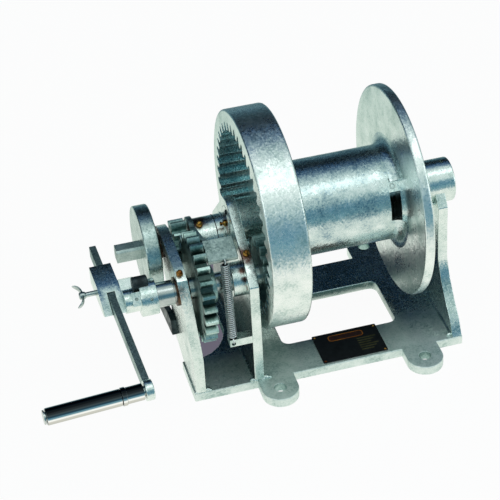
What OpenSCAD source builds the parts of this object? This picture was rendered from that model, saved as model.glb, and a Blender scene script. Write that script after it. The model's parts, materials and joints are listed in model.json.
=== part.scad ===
// Hand winch: welded frame, rope drum with an internal ring gear, two reduction
// stages, a crank with a sliding arm and a brake disc on the upper shaft.
// Millimetres. X runs along the drum, -Y faces the user, Z is up, Z = 0 is the floor.

/* [Base] */
// thickness of the base plate
base_t = 12; // [8:1:20]
// left end of the base plate
base_x0 = -189; // [-210:1:-170]
// right end of the base plate
base_x1 = 145.5; // [130:0.5:170]
// half depth of the base plate
base_hy = 95.5; // [80:0.5:120]
// half distance between the fixing holes across the drum
ear_y = 115; // [100:0.5:130]
// half distance between the fixing holes along the drum
ear_x = 90; // [80:1:110]
// radius of the rounded ears
ear_r = 22; // [18:0.5:30]
// radius of the fixing holes
ear_hole_r = 7; // [5:0.25:9]
// window in the base, left edge
win_x0 = -65; // [-80:1:-50]
// window in the base, right edge
win_x1 = 80; // [60:1:100]
// window in the base, half depth
win_hy = 42; // [30:1:60]
// corner radius of the window
win_r = 10; // [4:1:20]

/* [Drum] */
// height of the drum axis
axis_z = 178.3; // [160:0.1:200]
// outside radius of the rope barrel
barrel_r = 57.15; // [40:0.05:70]
// wall of the rope barrel
barrel_wall = 6; // [4:0.5:10]
// radius of the right flange
flange_r = 127; // [110:0.5:140]
// left face of the right flange
flange_x0 = 84.6; // [70:0.1:100]
// right face of the right flange
flange_x1 = 96.4; // [80:0.1:110]
// radius of the drum shaft
drum_shaft_r = 17.5; // [12:0.5:22]

/* [Gears] */
// gear module
gear_m = 5; // [4:0.5:6]
// teeth of the internal ring gear
ring_n = 44; // [36:1:52]
// teeth of the drive pinion
drive_n = 16; // [12:1:18]
// teeth of the spur gear
spur_n = 24; // [20:1:30]
// teeth of the upper pinion
upper_n = 9; // [8:1:14]
// outside radius of the ring gear rim
rim_r = 130.6; // [122:0.1:140]
// open face of the ring gear
rim_x0 = -96.7; // [-100:0.1:-90]
// closed face of the ring gear
rim_x1 = -50; // [-60:0.1:-40]
// face where the teeth end and the web starts
web_x0 = -62; // [-70:0.1:-56]
// direction from the drum axis to the counter shaft
counter_dir = -147; // [-160:0.5:-100]
// direction from the counter shaft to the upper shaft
upper_dir = 5; // [0:0.5:40]
// left face of the spur gear
spur_x0 = -174; // [-177:0.1:-165]
// width of the spur gear
spur_w = 14.5; // [10:0.1:20]
// play taken off each tooth flank
flank_play = 0.3; // [0.1:0.05:0.6]

/* [Shafts] */
// radius of the counter shaft
counter_r = 12.5; // [10:0.5:16]
// radius of the upper shaft
upper_r = 11; // [9:0.5:14]
// running clearance of a shaft in its bearing
run_fit = 0.05; // [0.02:0.01:0.1]

/* [Frame plates] */
// left face of the outer plate
out_x0 = -187; // [-192:0.5:-180]
// left face of the middle plate
mid_x0 = -115.5; // [-120:0.5:-110]
// left face of the right support
sup_x0 = 133; // [128:0.5:140]
// thickness of the upright plates
plate_t = 12; // [8:0.5:16]

/* [Crank] */
// tilt of the crank arm above the horizontal, towards the user
crank_tilt = 0; // [-30:1:30]
// skew of the clamped arm in its socket, seen from above
crank_skew = 1.7; // [0:0.1:4]
// skew of the grip against the arm
grip_skew = 2; // [0:0.1:4]
// middle plane of the crank arm
arm_x = -266.1; // [-275:0.1:-260]
// width of the crank arm along the shaft
arm_w = 8; // [6:0.5:14]
// depth of the crank arm
arm_h = 15; // [12:0.5:22]
// reach of the arm from the shaft to the grip
arm_reach = 156; // [120:1:200]
// length of the arm behind the shaft
arm_tail = 107; // [60:1:140]
// clearance of the arm in its socket
arm_fit = 0.6; // [0.3:0.1:1]
// length of the turning grip
grip_len = 83; // [70:1:140]
// radius of the turning grip
grip_r = 9.5; // [8:0.5:14]

/* [Hidden] */
$fn = 48;
eps = 0.01;
ring_rp = gear_m * ring_n / 2;
drive_rp = gear_m * drive_n / 2;
spur_rp = gear_m * spur_n / 2;
upper_rp = gear_m * upper_n / 2;
counter_y = (ring_rp - drive_rp) * cos(counter_dir);
counter_z = axis_z + (ring_rp - drive_rp) * sin(counter_dir);
upper_y = counter_y + (spur_rp + upper_rp) * cos(upper_dir);
upper_z = counter_z + (spur_rp + upper_rp) * sin(upper_dir);
stub_x = -246;
disc_x0 = -217.5;
disc_w = 17.5;
cut_x = mid_x0 - 10;
disc_r = 52;
oil_right_x = sup_x0 + 16.7;
oil_left_x = mid_x0 + 19.5;
pin_r = 5.5;
spring_z = 83.3;
hook_y = -76.5;
hook_z = upper_z + 32.6;
hub_r = 13.6;
screw_u = 28;
screw_r = 3;
grip_boss_r = 11.5;
lean = 10;
lean_z0 = 60;
lean_z1 = 205;

// lay a flat profile (u = Y, v = Z) upright and give it a thickness along X
module upright(x0, x1) {
    translate([x0, 0, 0]) rotate([90, 0, 90]) linear_extrude(x1 - x0) children();
}

// a round bar along X
module bar_x(x0, x1, y, z, r) {
    translate([x0, y, z]) rotate([0, 90, 0]) cylinder(h = x1 - x0, r = r);
}

// a ring along X
module ring_x(x0, x1, y, z, r, ri) {
    difference() {
        bar_x(x0, x1, y, z, r);
        bar_x(x0 - 1, x1 + 1, y, z, ri);
    }
}

// a turned solid along X, its profile given as (radius, distance from x0)
module turned(x0, y, z, pts) {
    translate([x0, y, z]) rotate([0, 90, 0]) rotate_extrude() polygon(pts);
}

// profile of a disc or sleeve with both outer edges rounded
function rounded(ri, r, w, e) =
    [[ri, 0], [r - e, 0], [r - e / 2, 0.134 * e], [r - 0.134 * e, e / 2], [r, e], [r, w - e],
     [r - 0.134 * e, w - e / 2], [r - e / 2, w - 0.134 * e], [r - e, w], [ri, w]];

function inv(a) = tan(a) * 180 / PI - a;
function half_at(r, n, rb, play) =
    90 / n - play / (gear_m * n) * 180 / PI * 2 + inv(20) - inv(acos(min(1, rb / r)));

// tooth outline with n teeth, one of them centred on direction dir
function tooth_pts(n, ra, rf, play, dir) =
    let (rp = gear_m * n / 2, rb = rp * cos(20), r1 = max(rf, rb + 0.01),
         rr = [rf, r1, r1 + (ra - r1) * 0.4, r1 + (ra - r1) * 0.75, ra])
    [for (i = [0 : n - 1], s = [-1, 1], k = [0 : 4])
        let (q = s < 0 ? k : 4 - k, a = dir + i * 360 / n + s * half_at(rr[q], n, rb, play))
        [rr[q] * cos(a), rr[q] * sin(a)]];

module gear_2d(n, ra, rf, play, dir) {
    polygon(tooth_pts(n, ra, rf, play, dir));
}

module gear_x(x0, x1, y, z, n, ra, rf, dir, bore) {
    upright(x0, x1) translate([y, z]) difference() {
        gear_2d(n, ra, rf, flank_play, dir);
        circle(r = bore);
    }
}

module base_plate() {
    color([0.62, 0.68, 0.66]) difference() {
        union() {
            linear_extrude(base_t) polygon([
                [base_x0, -base_hy], [base_x1, -base_hy], [base_x1, base_hy], [cut_x, base_hy],
                [cut_x - 1, 8], [cut_x - 7, -7], [cut_x - 15, -19], [cut_x - 26, -28], [cut_x - 40, -33], [base_x0, -33]]);
            for (x = [-ear_x, ear_x], s = [-1, 1]) {
                translate([x, s * ear_y, 0]) cylinder(h = base_t, r = ear_r);
                translate([x - ear_r, s > 0 ? base_hy - 5 : -ear_y, 0]) cube([2 * ear_r, ear_y - base_hy + 5, base_t]);
            }
        }
        for (x = [-ear_x, ear_x], s = [-1, 1])
            translate([x, s * ear_y, -1]) cylinder(h = base_t + 2, r = ear_hole_r);
        translate([0, 0, -1]) linear_extrude(base_t + 2) {
            for (x = [win_x0 + win_r, win_x1 - win_r], s = [-1, 1]) translate([x, s * (win_hy - win_r)]) circle(r = win_r);
            translate([win_x0 + win_r, -win_hy]) square([win_x1 - win_x0 - 2 * win_r, 2 * win_hy]);
            translate([win_x0, win_r - win_hy]) square([win_x1 - win_x0, 2 * win_hy - 2 * win_r]);
        }
    }
}

module right_support() {
    color([0.62, 0.68, 0.66]) upright(sup_x0, sup_x0 + plate_t) difference() {
        polygon([[-95, base_t], [95, base_t], [92, 16], [84, 31], [70, 44], [51.5, 68], [40, 92], [38, axis_z - 44],
                 [38, axis_z - 14], [26.5, axis_z], [-26.5, axis_z], [-38, axis_z - 14], [-38, axis_z - 44], [-40, 92],
                 [-51.5, 68], [-70, 44], [-84, 31], [-92, 16]]);
        translate([0, axis_z]) circle(r = 26.5);
    }
}

module right_boss() {
    color([0.6, 0.66, 0.64]) difference() {
        turned(sup_x0 - 7, 0, axis_z, rounded(0, 26.5, plate_t + 21.5, 1.8));
        bar_x(sup_x0 - 8, sup_x0 + plate_t + 8, 0, axis_z, drum_shaft_r + run_fit);
        translate([oil_right_x, 0, axis_z]) cylinder(h = 30, r = 2.6);
    }
}

module middle_plate() {
    color([0.6, 0.67, 0.65]) upright(mid_x0, mid_x0 + plate_t) difference() {
        polygon([[-95, base_t], [95, base_t], [95, axis_z - 66], [77, axis_z - 36], [28, axis_z + 14], [16, axis_z + 27],
                 [2, axis_z + 31], [-12, axis_z + 27], [-31, axis_z + 15], [-51, axis_z + 3], [-71, axis_z - 6],
                 [-85, axis_z - 18], [-95, axis_z - 28]]);
        translate([0, axis_z]) circle(r = 20);
        translate([counter_y, counter_z]) circle(r = 20);
    }
}

module drum_boss() {
    color([0.58, 0.65, 0.63]) difference() {
        union() {
            bar_x(mid_x0 - 1, mid_x0 + 1, 0, axis_z, 14);
            bar_x(mid_x0, mid_x0 + plate_t, 0, axis_z, 20);
            turned(mid_x0 + plate_t, 0, axis_z, rounded(0, 24, web_x0 - 11 - mid_x0 - plate_t, 1.5));
        }
        bar_x(mid_x0 + 3, web_x0 - 10, 0, axis_z, drum_shaft_r + run_fit);
        translate([oil_left_x, 0, axis_z]) rotate([-18, 0, 0]) cylinder(h = 30, r = 3);
    }
}

module counter_boss() {
    color([0.66, 0.7, 0.68]) ring_x(mid_x0 - 14, mid_x0 + plate_t, counter_y, counter_z, 20, counter_r + run_fit);
}

module upper_housing() {
    color([0.64, 0.69, 0.67]) difference() {
        turned(mid_x0 - 42.5, upper_y, upper_z, rounded(0, 24, 42.5, 1.5));
        bar_x(mid_x0 - 43.5, mid_x0 - 4, upper_y, upper_z, upper_r + run_fit);
    }
}

// the outer plate stands upright at its foot and leans outwards above it
module outer_plate() {
    color([0.6, 0.67, 0.65]) difference() {
        intersection() {
            upright(out_x0 - lean - 5, out_x0 + plate_t + 5)
                polygon([[-95, base_t], [-33, base_t], [0, 25], [18, 60], [upper_y + 6.5, upper_z - 29.4],
                         [upper_y + 18.5, upper_z - 17.4], [upper_y + 22.5, upper_z - 1.4], [upper_y + 18.5, upper_z + 12.6],
                         [upper_y + 6.5, upper_z + 24.6], [upper_y - 11.5, upper_z + 32.6], [upper_y - 28.5, upper_z + 33.6],
                         [counter_y - 1.3, counter_z + 36.8], [counter_y - 17.3, counter_z + 25.8],
                         [counter_y - 25.3, counter_z - 0.2], [-95, counter_z - 68.2]]);
            translate([0, 150, 0]) rotate([90, 0, 0]) linear_extrude(300) polygon([
                [out_x0, 0], [out_x0 + plate_t, 0], [out_x0 + plate_t, lean_z0], [out_x0 + plate_t - lean, lean_z1],
                [out_x0 - lean, lean_z1], [out_x0, lean_z0]]);
        }
        bar_x(out_x0 - 20, out_x0 + 20, counter_y, counter_z, 17);
        bar_x(out_x0 - 20, out_x0 + 20, upper_y, upper_z, 15);
    }
}

module counter_bush() {
    color([0.72, 0.45, 0.3]) ring_x(out_x0 - 8, out_x0 + 8, counter_y, counter_z, 17, counter_r + run_fit);
}

module upper_bush() {
    color([0.72, 0.45, 0.3]) ring_x(out_x0 - 8, out_x0 + 7, upper_y, upper_z, 15, upper_r + run_fit);
}

module spring_lug() {
    color([0.66, 0.72, 0.69]) translate([mid_x0 - 27, -96, 72]) difference() {
        cube([27, 12, 10]);
        translate([4.5, -1, 4]) rotate([-90, 0, 0]) cylinder(h = 14, r = 2.5);
    }
}

module side_tab() {
    color([0.3, 0.34, 0.35]) upright(out_x0 - 7, out_x0) difference() {
        polygon([[-12, 38], [2, 35], [62, 26], [68, 38], [10, 57], [-8, 57]]);
        translate([0, 46]) circle(r = 2.5);
    }
}

module nipple(p, a) {
    translate(p) rotate(a) {
        cylinder(h = 4, r = 4.5);
        translate([0, 0, 4]) cylinder(h = 3, r = 2.8);
        translate([0, 0, 7]) cylinder(h = 3, r1 = 3.2, r2 = 1.6);
    }
}

module nipple_middle() {
    color([0.75, 0.5, 0.25]) nipple([mid_x0 + plate_t / 2, -63, axis_z - 2.3], [24.2, 0, 0]);
}

module nipple_outer() {
    color([0.75, 0.5, 0.25]) nipple([out_x0 - 2.4, counter_y - 9.5, counter_z + 31.5], [34.5, 0, 0]);
}

module nipple_drum() {
    color([0.75, 0.5, 0.25]) nipple([mid_x0 - 1, 0, axis_z], [0, -90, 0]);
}

module nipple_upper() {
    color([0.75, 0.5, 0.25]) nipple([mid_x0 - 29.5, upper_y, upper_z + 24.1], [0, 0, 0]);
}

module release_lever() {
    color([0.66, 0.7, 0.68]) {
        upright(mid_x0 - 42, mid_x0 - 35.5) difference() {
            union() {
                translate([upper_y, upper_z]) circle(r = 27.5);
                polygon([[hook_y - 1.5, hook_z + 7], [hook_y + 0.5, hook_z + 1], [hook_y + 28.5, hook_z + 4],
                         [upper_y - 47, upper_z + 18.6], [upper_y - 26, upper_z - 8], [upper_y - 10, upper_z + 25],
                         [upper_y - 49, upper_z + 38.6], [hook_y + 24.5, hook_z + 19]]);
            }
            translate([upper_y, upper_z]) circle(r = 24 + run_fit);
        }
        upright(mid_x0 - 35.5, mid_x0 - 6.5)
            polygon([[hook_y - 1.5, hook_z + 7], [hook_y + 0.5, hook_z + 1], [hook_y + 26.5, hook_z + 13],
                     [hook_y + 24.5, hook_z + 19]]);
    }
}

module spring() {
    color([0.8, 0.82, 0.82]) translate([mid_x0 - 22.5, -91.5, spring_z]) rotate([-9, 0, 0]) cylinder(h = (hook_z - 1 - spring_z) / cos(9), r = 5.5);
}

module drum_barrel() {
    color([0.7, 0.74, 0.74]) difference() {
        ring_x(rim_x1, flange_x0, 0, axis_z, barrel_r, barrel_r - barrel_wall);
        translate([flange_x0 - 16.5, -barrel_r - 5, axis_z - 2]) cube([13, 30, 32]);
        translate([flange_x0 - 16.5, 0, axis_z]) rotate([-41, 0, 0]) translate([0, -barrel_r - 4, -9]) cube([13, 7, 18]);
    }
}

module drum_flange() {
    color([0.68, 0.73, 0.72])
        turned(flange_x0, 0, axis_z, rounded(drum_shaft_r, flange_r, flange_x1 - flange_x0, 2.5));
}

module ring_gear() {
    color([0.66, 0.72, 0.7]) upright(rim_x0, web_x0) translate([0, axis_z]) difference() {
        circle(r = rim_r, $fn = 96);
        gear_2d(ring_n, ring_rp + 1.2 * gear_m, ring_rp - 0.8 * gear_m, -flank_play, counter_dir);
    }
}

module ring_web() {
    color([0.66, 0.72, 0.7]) difference() {
        turned(rim_x1 - 30, 0, axis_z, rounded(drum_shaft_r, rim_r, 30, 3));
        bar_x(rim_x1 - 31, web_x0, 0, axis_z, rim_r + 5);
    }
}

module drum_shaft() {
    color([0.75, 0.77, 0.78]) bar_x(mid_x0 + 4, sup_x0 + plate_t + 7, 0, axis_z, drum_shaft_r);
}

module counter_shaft() {
    color([0.8, 0.82, 0.83]) bar_x(out_x0 - 54, web_x0 - 3, counter_y, counter_z, counter_r);
}

module spur_gear() {
    color([0.6, 0.67, 0.65])
        gear_x(spur_x0, spur_x0 + spur_w, counter_y, counter_z, spur_n, spur_rp + 0.9 * gear_m,
               spur_rp - 1.2 * gear_m, upper_dir, counter_r);
}

module drive_pinion() {
    color([0.6, 0.67, 0.65])
        gear_x(rim_x0 + 1.7, web_x0 - 5, counter_y, counter_z, drive_n, drive_rp + gear_m * 0.95,
               drive_rp - 1.2 * gear_m, counter_dir, counter_r);
}

module shaft_collar() {
    color([0.82, 0.83, 0.83]) ring_x(out_x0 - 30, out_x0 - 10, counter_y, counter_z, 14.5, counter_r);
}

module clutch_collar() {
    color([0.62, 0.69, 0.67]) difference() {
        turned(out_x0 - 50, counter_y, counter_z, rounded(counter_r, 21, 20, 1));
        translate([out_x0 - 38, counter_y, counter_z]) rotate([61, 0, 0]) cylinder(h = 30, r = 2);
    }
}

// place something in the crank frame: u along the arm to the tail, v square to it
module on_crank() {
    translate([arm_x, counter_y, counter_z]) rotate([-crank_tilt, 0, crank_skew]) children();
}

// the outside of the socket: a flat block whose nose slopes down towards the user
module socket_block() {
    upright(-14, 11.5) polygon([[61, 12.5], [22.5, 12.5], [-14, -4.3], [-5, -10.5], [61, -10.5]]);
}

// the hub carries a flat screw lug towards the user
module crank_hub() {
    color([0.62, 0.69, 0.67]) difference() {
        union() {
            upright(arm_x + 9, out_x0 - 50) translate([counter_y, counter_z]) {
                circle(r = hub_r);
                polygon([[32, -10.5], [32, 9], [23, 14.8], [-11, -2], [-5, -12]]);
            }
            translate([out_x0 - 60, counter_y, counter_z]) rotate([51, 0, 0]) translate([0, -8, 9]) cube([9.9, 16, 12]);
        }
        bar_x(out_x0 - 54, out_x0 - 49, counter_y, counter_z, counter_r);
        translate([out_x0 - 55, counter_y, counter_z]) rotate([51, 0, 0]) cylinder(h = 30, r = 2);
        on_crank() translate([-40, -80, -80]) cube([51.5, 160, 160]);
    }
}

module hub_cap() {
    color([0.16, 0.18, 0.19]) difference() {
        turned(out_x0 - 56, counter_y + 3, counter_z + 20, rounded(0, 8.5, 18, 1.5));
        bar_x(out_x0 - 57, out_x0 - 50, counter_y, counter_z, hub_r + 0.1);
        bar_x(out_x0 - 50.1, out_x0 - 29, counter_y, counter_z, 21.1);
    }
}

module crank_socket() {
    color([0.62, 0.68, 0.67]) on_crank() difference() {
        socket_block();
        translate([-arm_w / 2 - arm_fit, -40, -arm_h / 2 - arm_fit]) cube([arm_w + 2 * arm_fit, 120, arm_h + 2 * arm_fit]);
        translate([-16, screw_u, 0]) rotate([0, 90, 0]) cylinder(h = 13, r = screw_r + run_fit);
    }
}

module crank_arm() {
    color([0.55, 0.62, 0.62]) on_crank() difference() {
        translate([-arm_w / 2, -arm_reach, -arm_h / 2]) cube([arm_w, arm_reach + arm_tail, arm_h]);
        on_grip(-10, 10, grip_boss_r + 0.02);
    }
}

// a round piece about the grip axis, from x0 to x1 measured from the arm plane
module on_grip(x0, x1, r) {
    translate([0, -arm_reach, 0]) rotate([0, 90, grip_skew]) translate([0, 0, x0]) cylinder(h = x1 - x0, r = r);
}

module grip_pin() {
    color([0.8, 0.82, 0.83]) on_crank() {
        on_grip(-grip_len - 31, arm_w / 2 + 1, pin_r);
        on_grip(-grip_len - 32.5, -grip_len - 31, grip_r - 1.5);
    }
}

module grip_boss() {
    color([0.66, 0.72, 0.7]) on_crank() difference() {
        on_grip(-arm_w / 2 - 0.5, arm_w / 2 + 1, grip_boss_r);
        on_grip(-10, 10, pin_r);
    }
}

module grip_tube() {
    color([0.85, 0.86, 0.87]) on_crank() difference() {
        on_grip(-grip_len - 30, -30, grip_r);
        on_grip(-grip_len - 31, -29, pin_r + run_fit);
    }
}

module grip_collar() {
    color([0.75, 0.78, 0.78]) on_crank() difference() {
        union() {
            on_grip(-30, -25, grip_r + 0.8);
            on_grip(-25, -arm_w / 2 - 2, grip_r - 0.2);
        }
        on_grip(-31, 0, pin_r + run_fit);
    }
}

module wing_screw() {
    color([0.7, 0.75, 0.74]) on_crank() translate([0, screw_u, 0]) {
        translate([-29, 0, 0]) rotate([0, 90, 0]) cylinder(h = 29 - arm_w / 2 - 0.5, r = screw_r);
        translate([-34, 0, 0]) rotate([0, 90, 0]) cylinder(h = 8, r = 4.6);
        for (s = [-1, 1]) rotate([16, 0, 0]) translate([-31, s * 3.2, -4]) rotate([0, 0, s > 0 ? 132 : -132])
            translate([-1.5, -1.1, 0]) cube([17, 2.2, 8]);
    }
}

module input_shaft() {
    color([0.8, 0.82, 0.83]) bar_x(disc_x0, mid_x0 - 6, upper_y, upper_z, upper_r);
    color([0.8, 0.82, 0.83]) translate([stub_x, upper_y, upper_z]) intersection() {
        rotate([0, 90, 0]) cylinder(h = disc_x0 - stub_x, r = upper_r);
        translate([-1, -9, -9]) cube([disc_x0 - stub_x + 1, 18, 18]);
    }
}

module brake_disc() {
    color([0.6, 0.66, 0.66]) turned(disc_x0, upper_y, upper_z, rounded(upper_r, disc_r, disc_w, 2));
}

module friction_ring() {
    color([0.1, 0.11, 0.12]) ring_x(disc_x0 + disc_w, disc_x0 + disc_w + 3, upper_y, upper_z, 34, upper_r);
}

module input_pinion() {
    color([0.6, 0.67, 0.65])
        gear_x(spur_x0 - 3.5, spur_x0 + spur_w, upper_y, upper_z, upper_n, upper_rp + gear_m * 0.9,
               upper_rp - 1.15 * gear_m, upper_dir + 180 + 180 / upper_n, upper_r);
}

base_plate();
right_support();
right_boss();
middle_plate();
drum_boss();
counter_boss();
upper_housing();
outer_plate();
counter_bush();
upper_bush();
spring_lug();
side_tab();
nipple_middle();
nipple_outer();
nipple_drum();
nipple_upper();
release_lever();
spring();
drum_barrel();
drum_flange();
ring_gear();
ring_web();
drum_shaft();
counter_shaft();
spur_gear();
drive_pinion();
shaft_collar();
clutch_collar();
crank_hub();
hub_cap();
crank_socket();
crank_arm();
grip_pin();
grip_boss();
grip_tube();
grip_collar();
wing_screw();
input_shaft();
brake_disc();
friction_ring();
input_pinion();
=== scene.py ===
# %% [markdown]
# # A hand winch, dressed in Blender
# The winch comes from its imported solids, in metres and in one frame: X runs along
# the drum, -Y faces the user and Z is up. This lesson gives every solid a real
# finish, rounds what a fabricator leaves round, and adds what a quick solid
# lacks: welds, a wound spring, grease nipples and a plain name plate.

# %% Load the frame
import bmesh
import bpy
import json
import math
from mathutils import Matrix, Vector


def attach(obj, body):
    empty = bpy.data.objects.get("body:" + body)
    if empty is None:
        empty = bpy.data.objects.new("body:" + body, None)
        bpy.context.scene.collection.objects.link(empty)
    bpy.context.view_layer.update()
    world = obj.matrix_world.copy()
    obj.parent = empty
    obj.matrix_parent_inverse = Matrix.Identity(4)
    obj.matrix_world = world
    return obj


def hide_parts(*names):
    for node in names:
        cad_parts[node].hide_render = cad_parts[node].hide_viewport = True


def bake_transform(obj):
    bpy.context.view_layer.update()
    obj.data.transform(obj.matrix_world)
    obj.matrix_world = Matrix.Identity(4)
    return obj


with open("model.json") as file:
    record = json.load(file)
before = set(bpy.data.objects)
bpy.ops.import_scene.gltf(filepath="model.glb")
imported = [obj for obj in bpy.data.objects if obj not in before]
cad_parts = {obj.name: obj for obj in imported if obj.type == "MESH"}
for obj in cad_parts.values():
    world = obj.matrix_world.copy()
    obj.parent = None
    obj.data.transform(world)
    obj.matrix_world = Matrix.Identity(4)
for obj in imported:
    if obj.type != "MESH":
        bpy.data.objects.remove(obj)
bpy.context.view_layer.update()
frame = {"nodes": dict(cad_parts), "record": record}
MM = 0.001
nodes = frame["nodes"]

# %% [markdown]
# ## Camera
# The photograph was taken from the front left, about 37 degrees above the
# winch, with a long lens, so parallel edges stay nearly parallel. The numbers
# come from fitting known points of the winch to the picture. The rotation is
# built from the viewing direction and the picture's up direction.

# %% Camera
CAM_AT = Vector((-0.47314, -1.5974, 1.36675))
CAM_FORWARD = Vector((0.18670, 0.77726, -0.60084))
CAM_UP = Vector((0.19689, 0.56958, 0.79800))
LENS_MM = 124.8
SENSOR_MM = 36.0

camera = bpy.data.objects.new("camera", bpy.data.cameras.new("camera"))
camera.data.lens = LENS_MM
camera.data.sensor_width = SENSOR_MM
back = -CAM_FORWARD.normalized()
right = CAM_UP.cross(back).normalized()
turn = Matrix((right, back.cross(right), back)).transposed()
camera.matrix_world = Matrix.Translation(CAM_AT) @ turn.to_4x4()
bpy.context.collection.objects.link(camera)
bpy.context.scene.camera = camera
bpy.context.scene.view_settings.view_transform = "Standard"
print("camera", round((CAM_AT - Vector((0, 0, 0.15))).length, 3), "m from the winch")

# %% [markdown]
# ## Colour and nodes
# Colours are written as screen hex values, as a paint chart gives them, and one
# function turns them into the linear values that Blender works in. One more
# small function adds a node, sets it, links it and hands back one of its
# outputs, so that each material reads as a short recipe. An input is named by
# its word, or by its number after a low line. A Map Range reads its value at 0
# over the range 1 to 2, and gives the range 3 to 4. A Mix of colours takes them
# at 6 and 7 and gives its result at output 2.

# %% Helpers for materials
def linear(hex_colour):
    """Screen hex colour to linear RGBA."""
    parts = [int(hex_colour[i:i + 2], 16) / 255 for i in (1, 3, 5)]
    return [c / 12.92 if c <= 0.04045 else ((c + 0.055) / 1.055) ** 2.4 for c in parts] + [1.0]


def node(tree, kind, settings=(), out=0, stops=(), **inputs):
    """Add a node and return an output of it. A value that is a socket is linked, any other is set."""
    made = tree.nodes.new(kind)
    for name, value in dict(settings).items():
        setattr(made, name, value)
    for i, (place, colour) in enumerate(stops):
        element = made.color_ramp.elements[i] if i < 2 else made.color_ramp.elements.new(place)
        element.position = place
        element.color = linear(colour)
    for name, value in inputs.items():
        key = int(name[1:]) if name[0] == "_" and name[1:].isdigit() else name.replace("_", " ")
        if isinstance(value, bpy.types.NodeSocket):
            tree.links.new(value, made.inputs[key])
        else:
            made.inputs[key].default_value = value
    return made.outputs[out] if len(made.outputs) else made


def new_material(name, base, metallic, roughness):
    """A named material with plain start values, its node tree and its shader."""
    mat = bpy.data.materials.new(name)
    mat.use_nodes = True
    shader = mat.node_tree.nodes["Principled BSDF"]
    shader.inputs["Base Color"].default_value = linear(base)
    shader.inputs["Metallic"].default_value = metallic
    shader.inputs["Roughness"].default_value = roughness
    mat.diffuse_color = linear(base)
    return mat, mat.node_tree, shader

# %% [markdown]
# ## Stains and painted shade on the zinc
# Where grease crept out of a bearing the zinc is stained brown. The distance to
# a few marked points drives that, and the runs in the zinc make its edge ragged.
# The roots of the spur gear's teeth are painted dark green as shade, which thins
# out towards the tips and towards the hub, by distance from the gear's axis. The
# plate beside the gears is painted dark green as shade too, low on its outer
# face. Each stain or painted shade is a function that gives its share at a
# point, so that any zinc can wear any of them.

# %% Stains and painted shade
RUN_MM = 13.0
STAIN = "#5E3020"
STAIN_SHARE, STAIN_FULL, STAIN_GONE = 0.92, 1.25, 1.85
RAGGED = 1.6
PAINTED_SHADE_GREEN = "#1E3330"
COUNTER = (-58.707, 140.175)
UPPER = (23.479, 147.366)
HUB_END_MM, ROOT_MM, TIP_MM = 46.0, 54.0, 63.0
ROOT_SHARE, HUB_END_SHARE = 0.9, 0.2
SHADE_FULL_MM, SHADE_GONE_MM = 108.0, 135.0
SHADE_LOW_SHARE = 0.85
STAINED = (((-109.5, -63, 175.8), 15), ((-114, -60, 166), 9), ((-115.8, -68, 158), 6),
           ((-115.7, -76, 150), 5), ((-115.5, -84, 144), 5), ((-145, 23.5, 171.5), 14),
           ((-117.0, 0, 178.3), 15), ((-161, 14, 168), 11), ((-193.5, -70, 152), 13))


def stained(tree, place):
    """Near a marked point, in shares of its radius, with a ragged edge."""
    nearest = None
    for centre, radius in STAINED:
        away = node(tree, "ShaderNodeVectorMath", {"operation": "DISTANCE"}, out="Value", _0=place,
                    _1=Vector(centre) * MM)
        share = node(tree, "ShaderNodeMath", {"operation": "DIVIDE"}, _0=away, _1=radius * MM)
        if nearest is None:
            nearest = share
        else:
            nearest = node(tree, "ShaderNodeMath", {"operation": "MINIMUM"}, _0=nearest, _1=share)
    runs = node(tree, "ShaderNodeTexNoise", Vector=place, Scale=1 / (RUN_MM * MM), Detail=3.0, Roughness=0.55)
    ragged = node(tree, "ShaderNodeMath", {"operation": "MULTIPLY_ADD"}, _0=runs, _1=RAGGED, _2=nearest)
    return node(tree, "ShaderNodeMapRange", _0=ragged, _1=STAIN_FULL, _2=STAIN_GONE, _3=STAIN_SHARE, _4=0.0)


def painted_shade_in_roots(tree, place):
    """Painted shade in a band along the spur gear's root circle."""
    spoke = node(tree, "ShaderNodeVectorMath", {"operation": "MULTIPLY_ADD"}, _0=place, _1=(0, 1, 1),
                 _2=(0, -COUNTER[0] * MM, -COUNTER[1] * MM))
    from_axis = node(tree, "ShaderNodeVectorMath", {"operation": "LENGTH"}, out="Value", _0=spoke)
    outwards = node(tree, "ShaderNodeMapRange", _0=from_axis, _1=ROOT_MM * MM, _2=TIP_MM * MM, _3=ROOT_SHARE,
                    _4=0.0)
    inwards = node(tree, "ShaderNodeMapRange", _0=from_axis, _1=HUB_END_MM * MM, _2=ROOT_MM * MM,
                   _3=HUB_END_SHARE, _4=1.0)
    return node(tree, "ShaderNodeMath", {"operation": "MULTIPLY"}, _0=outwards, _1=inwards)


def painted_shade_low_outside(tree, place):
    """Painted shade, low down, on faces that look along -X."""
    normal = node(tree, "ShaderNodeNewGeometry", out="Normal")
    facing = node(tree, "ShaderNodeSeparateXYZ", out="X", _0=normal)
    height = node(tree, "ShaderNodeSeparateXYZ", out="Z", _0=place)
    outer = node(tree, "ShaderNodeMapRange", _0=facing, _1=-0.95, _2=-0.6, _3=SHADE_LOW_SHARE, _4=0.0)
    low = node(tree, "ShaderNodeMapRange", _0=height, _1=SHADE_FULL_MM * MM, _2=SHADE_GONE_MM * MM, _3=1.0,
               _4=0.0)
    return node(tree, "ShaderNodeMath", {"operation": "MULTIPLY"}, _0=outer, _1=low)

# %% [markdown]
# ## Hot-dip galvanised steel
# The frame, drum and gears were dipped in molten zinc. It freezes into
# crystals between one and two millimetres across, the spangle. Each crystal is
# a little lighter or darker than its neighbours and, more important, leans its
# own way, so a shine breaks up into sparkling grain. A cell pattern gives every
# crystal one random colour: it shades the metal, sets its roughness and tips
# its surface. A slow noise clouds the zinc and another one makes its runs. A
# handled front can be worn duller.

# %% Galvanised steel
SPANGLE_MM = 1.6
CLOUD_MM = 26.0
RUN_DEPTH_MM = 0.22
LEAN = 0.085
CLOUD_SHARE, CRYSTAL_SHARE, CRYSTAL_ROUGH = 0.66, 0.34, 0.08
WORN_FROM_MM, WORN_TO_MM = -20.0, -85.0


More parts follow.
